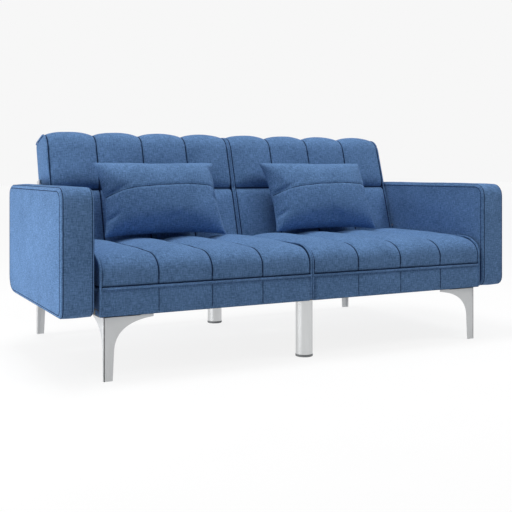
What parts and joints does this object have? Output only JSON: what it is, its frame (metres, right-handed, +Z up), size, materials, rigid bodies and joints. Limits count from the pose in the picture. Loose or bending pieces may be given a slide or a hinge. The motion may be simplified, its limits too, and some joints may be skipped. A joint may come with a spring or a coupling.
{
  "type": "futon sofa bed",
  "caption": "Click-clack sofa bed with a split back that reclines flat, padded arms, loose pillows and steel legs.",
  "frame": {"origin": "on the floor, under the middle of the sofa in width and in depth over the front plane and the rear legs", "axes": "+X to the right as seen from the front, +Y to the rear, +Z up"},
  "size_m": [1.82, 0.9266, 0.8311],
  "materials": {
    "fabric_blue": "matte",
    "pillow_blue": "matte",
    "black_cloth": "matte",
    "foam": "matte",
    "timber": "matte",
    "hardboard": "matte",
    "black_steel": "satin",
    "spring_steel": "satin",
    "zinc_plate": "satin",
    "silver_paint": "satin",
    "brushed_tube": "satin",
    "grey_plastic": "matte",
    "elastic": "matte"
  },
  "bodies": {
    "root": {"seat_left_cover": "fabric_blue", "seat_right_cover": "fabric_blue", "arm_left_cover": "fabric_blue", "arm_right_cover": "fabric_blue", "seat_left_dust_cover": "black_cloth", "seat_right_dust_cover": "black_cloth", "seat_left_foam": "foam", "seat_right_foam": "foam", "arm_left_core": "timber", "arm_right_core": "timber", "front_rail": "black_steel", "rear_rail": "black_steel", "left_rail": "black_steel", "right_rail": "black_steel", "mid_rail": "black_steel", "centre_rail_front": "black_steel", "centre_rail_rear": "black_steel", "seat_left_springs": "spring_steel", "seat_right_springs": "spring_steel", "hinge_plate_left": "zinc_plate", "hinge_plate_right": "zinc_plate", "hinge_plate_centre": "zinc_plate", "hinge_pin_left": "zinc_plate", "hinge_pin_right": "zinc_plate", "hinge_pin_centre": "zinc_plate", "arm_left_mount": "zinc_plate", "arm_right_mount": "zinc_plate", "leg_front_left": "silver_paint", "leg_front_right": "silver_paint", "leg_rear_left": "silver_paint", "leg_rear_right": "silver_paint", "centre_leg_front": "brushed_tube", "centre_leg_rear": "brushed_tube", "centre_leg_front_cap": "grey_plastic", "centre_leg_rear_cap": "grey_plastic"},
    "back_left": {"back_left_cover": "fabric_blue", "back_left_foam": "foam", "back_left_top_board": "timber", "back_left_bottom_board": "timber", "back_left_outer_board": "timber", "back_left_inner_board": "timber", "back_left_rear_panel": "hardboard", "hinge_arm_left_outer": "zinc_plate", "hinge_arm_left_inner": "zinc_plate", "back_left_webbing": "elastic"},
    "pawl_left": {"pawl_left": "zinc_plate"},
    "pillow_left": {"pillow_left": "pillow_blue"},
    "back_right": {"back_right_cover": "fabric_blue", "back_right_foam": "foam", "back_right_top_board": "timber", "back_right_bottom_board": "timber", "back_right_outer_board": "timber", "back_right_inner_board": "timber", "back_right_rear_panel": "hardboard", "hinge_arm_right_outer": "zinc_plate", "hinge_arm_right_inner": "zinc_plate", "back_right_webbing": "elastic"},
    "pawl_right": {"pawl_right": "zinc_plate"},
    "pillow_right": {"pillow_right": "pillow_blue"}
  },
  "joints": [
    {"name": "back_left_recline", "type": "hinge", "parent": "root", "child": "back_left", "pos_m": [-0.39575, 0.16245, 0.348], "axis": [-1, 0, 0], "range_deg": [0, 73.5]},
    {"name": "back_right_recline", "type": "hinge", "parent": "root", "child": "back_right", "pos_m": [0.39575, 0.16245, 0.348], "axis": [-1, 0, 0], "range_deg": [0, 73.5]},
    {"name": "pawl_left_drop", "type": "hinge", "parent": "back_left", "child": "pawl_left", "pos_m": [-0.7878, 0.13855, 0.4187], "axis": [-1, 0, 0], "range_deg": [0, 9]},
    {"name": "pawl_right_drop", "type": "hinge", "parent": "back_right", "child": "pawl_right", "pos_m": [0.7878, 0.13855, 0.4187], "axis": [-1, 0, 0], "range_deg": [0, 9]},
    {"name": "pillow_left_lift", "type": "slide", "parent": "back_left", "child": "pillow_left", "axis": [0, -0.5, 0.866], "range_m": [0, 0.35]},
    {"name": "pillow_right_lift", "type": "slide", "parent": "back_right", "child": "pillow_right", "axis": [0, -0.5, 0.866], "range_m": [0, 0.35]}
  ]
}
